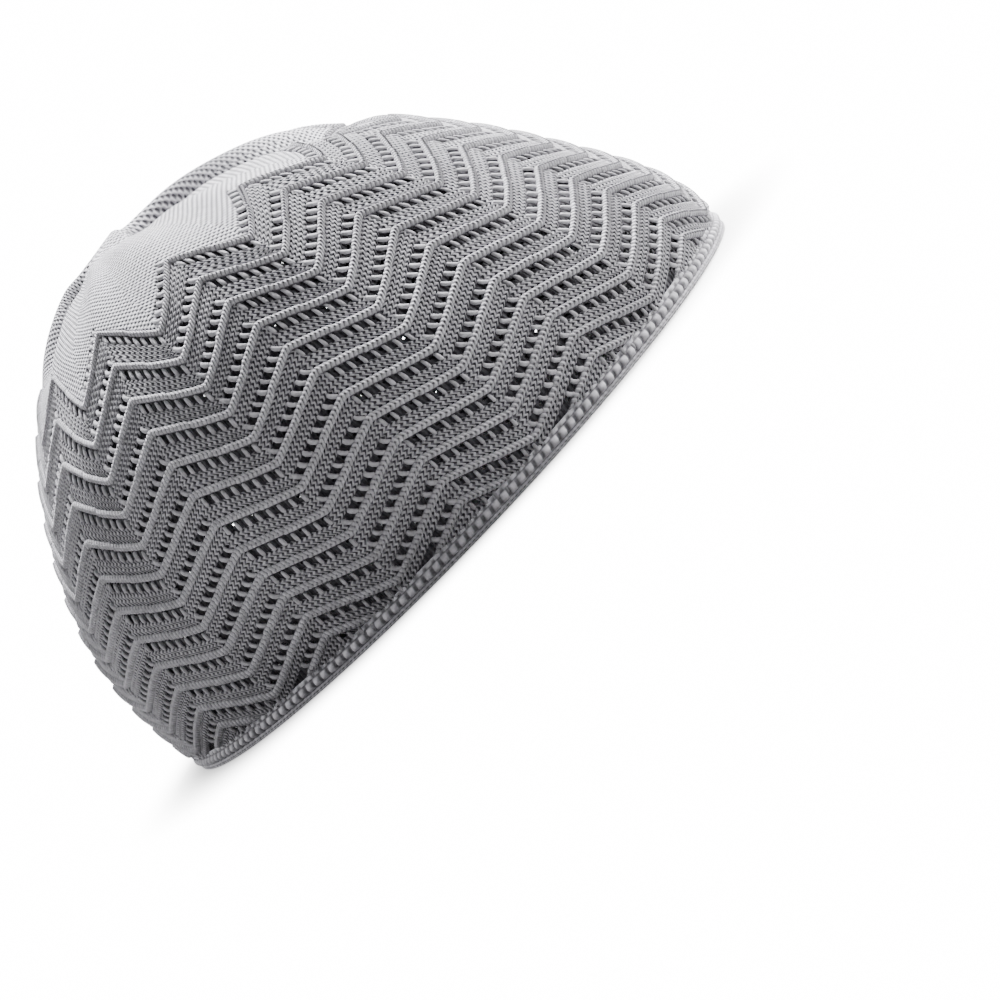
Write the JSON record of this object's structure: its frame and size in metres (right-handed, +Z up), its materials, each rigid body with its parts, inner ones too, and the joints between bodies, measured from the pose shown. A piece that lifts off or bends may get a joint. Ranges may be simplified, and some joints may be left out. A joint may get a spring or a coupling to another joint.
{
  "type": "knitted kufi cap",
  "caption": "Brimless knitted skullcap with raised zigzag ribs, rows of eyelets, a rolled rim band and a plain, softly folded crown.",
  "frame": {"origin": "on the surface that the rim rests on, under the middle of the cap", "axes": "+Z up towards the crown, +X to the wearer's front, +Y to the wearer's left"},
  "size_m": [0.2066, 0.1662, 0.117],
  "materials": {
    "grey_yarn": "matt, smooth grey knitting yarn"
  },
  "bodies": {
    "root": {"knit_cap": "grey_yarn"}
  },
  "joints": []
}
